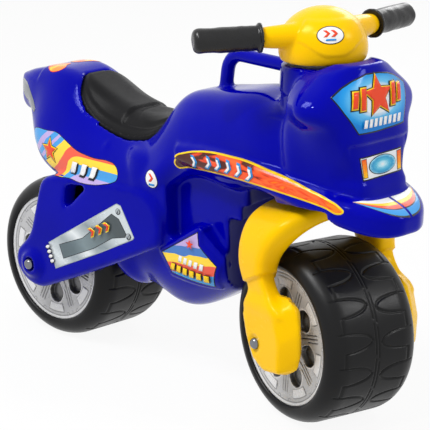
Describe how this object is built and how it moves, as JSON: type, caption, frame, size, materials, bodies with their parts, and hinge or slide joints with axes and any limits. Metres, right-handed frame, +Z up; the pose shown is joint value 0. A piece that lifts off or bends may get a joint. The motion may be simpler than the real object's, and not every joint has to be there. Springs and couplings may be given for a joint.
{
  "type": "ride-on push bike",
  "caption": "Child's foot-to-floor ride-on in a motorbike shape: hollow blue body, seat insert, wide wheels, steered yellow fork and handlebar with grips.",
  "frame": {"origin": "on the ground, on the centre plane, midway between the two axles", "axes": "+X forward, +Y to the rider's left, +Z up"},
  "size_m": [0.687, 0.3139, 0.5113],
  "materials": {
    "blue_plastic": "glossy",
    "yellow_plastic": "semi gloss",
    "seat_black": "matte",
    "tyre_black": "satin",
    "rim_silver": "metallic silver",
    "bush_plastic": "matte",
    "steel": "zinc plated",
    "nut_chrome": "polished",
    "grip_rubber": "satin"
  },
  "bodies": {
    "chassis": {"body_shell": "blue_plastic", "seat_pad": "seat_black", "head_bush_lower": "bush_plastic", "head_bush_upper": "bush_plastic", "rear_axle": "steel", "rear_axle_washers": "steel", "rear_axle_nuts": "nut_chrome"},
    "steering": {"fork": "yellow_plastic", "handlebar": "yellow_plastic", "grip_left": "grip_rubber", "grip_right": "grip_rubber", "stem_bolt": "steel", "front_axle": "steel", "front_axle_washers": "steel", "front_axle_nuts": "nut_chrome"},
    "front_wheel": {"front_tyre": "tyre_black", "front_rim_left": "rim_silver", "front_rim_right": "rim_silver", "front_bush_left": "bush_plastic", "front_bush_right": "bush_plastic", "front_hub_tube": "bush_plastic"},
    "rear_wheel": {"rear_tyre": "tyre_black", "rear_rim_left": "rim_silver", "rear_rim_right": "rim_silver", "rear_bush_left": "bush_plastic", "rear_bush_right": "bush_plastic", "rear_hub_tube": "bush_plastic"}
  },
  "joints": [
    {"name": "steering_turn", "type": "hinge", "parent": "chassis", "child": "steering", "pos_m": [0.2225, 0, 0.11044], "axis": [-0.0436, 0, 0.999], "range_deg": [-20, 45]},
    {"name": "front_wheel_spin", "type": "hinge", "parent": "steering", "child": "front_wheel", "pos_m": [0.2225, 0, 0.11044], "axis": [0.2145, 0.9767, 0.0094], "continuous": true},
    {"name": "rear_wheel_spin", "type": "hinge", "parent": "chassis", "child": "rear_wheel", "pos_m": [-0.2225, 0, 0.11], "axis": [0, 1, 0], "continuous": true}
  ]
}
